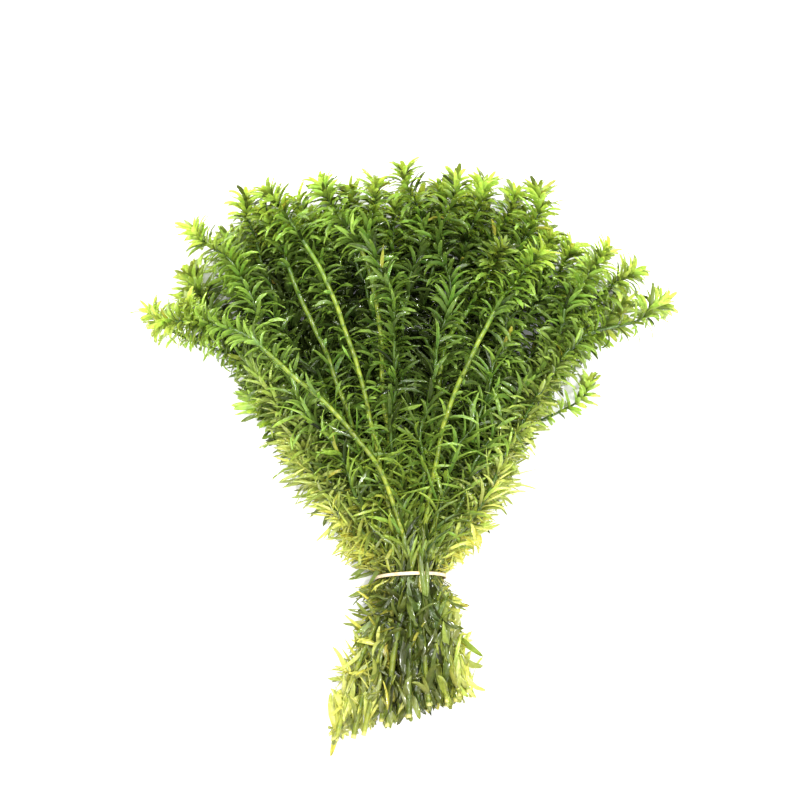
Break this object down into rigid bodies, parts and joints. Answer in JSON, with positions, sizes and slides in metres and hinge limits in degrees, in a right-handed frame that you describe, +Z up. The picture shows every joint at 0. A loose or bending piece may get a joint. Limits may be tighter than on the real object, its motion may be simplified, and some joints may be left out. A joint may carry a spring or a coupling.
{
  "type": "brazilian waterweed bunch",
  "caption": "Bunch of fresh, wet Brazilian waterweed shoots lying flat, fanned out above a thin rubber band round the stems.",
  "frame": {"origin": "centre of the bottom of the bounding box, on the surface that the bunch lies on", "axes": "+Y from the cut ends to the leafy tips, +X to the right seen from above, +Z up"},
  "size_m": [0.2718, 0.2954, 0.0591],
  "materials": {
    "waterweed": "wet leaf and stem, glossy, slightly see-through",
    "cream_rubber": "matte natural rubber"
  },
  "bodies": {
    "root": {"shoot_01": "waterweed", "shoot_02": "waterweed", "shoot_03": "waterweed", "shoot_04": "waterweed", "shoot_05": "waterweed", "shoot_06": "waterweed", "shoot_07": "waterweed", "shoot_08": "waterweed", "shoot_09": "waterweed", "shoot_10": "waterweed", "shoot_11": "waterweed", "shoot_12": "waterweed", "shoot_13": "waterweed", "shoot_14": "waterweed", "shoot_15": "waterweed", "shoot_16": "waterweed", "shoot_17": "waterweed", "shoot_18": "waterweed", "shoot_19": "waterweed", "shoot_20": "waterweed", "shoot_21": "waterweed", "shoot_22": "waterweed", "shoot_23": "waterweed", "shoot_24": "waterweed", "shoot_25": "waterweed", "shoot_26": "waterweed", "shoot_27": "waterweed", "shoot_28": "waterweed", "shoot_29": "waterweed", "shoot_30": "waterweed", "shoot_31": "waterweed", "shoot_32": "waterweed", "shoot_33": "waterweed", "shoot_34": "waterweed", "shoot_35": "waterweed", "shoot_36": "waterweed", "shoot_37": "waterweed", "shoot_38": "waterweed", "shoot_39": "waterweed", "shoot_40": "waterweed", "rubber_band": "cream_rubber"}
  },
  "joints": []
}
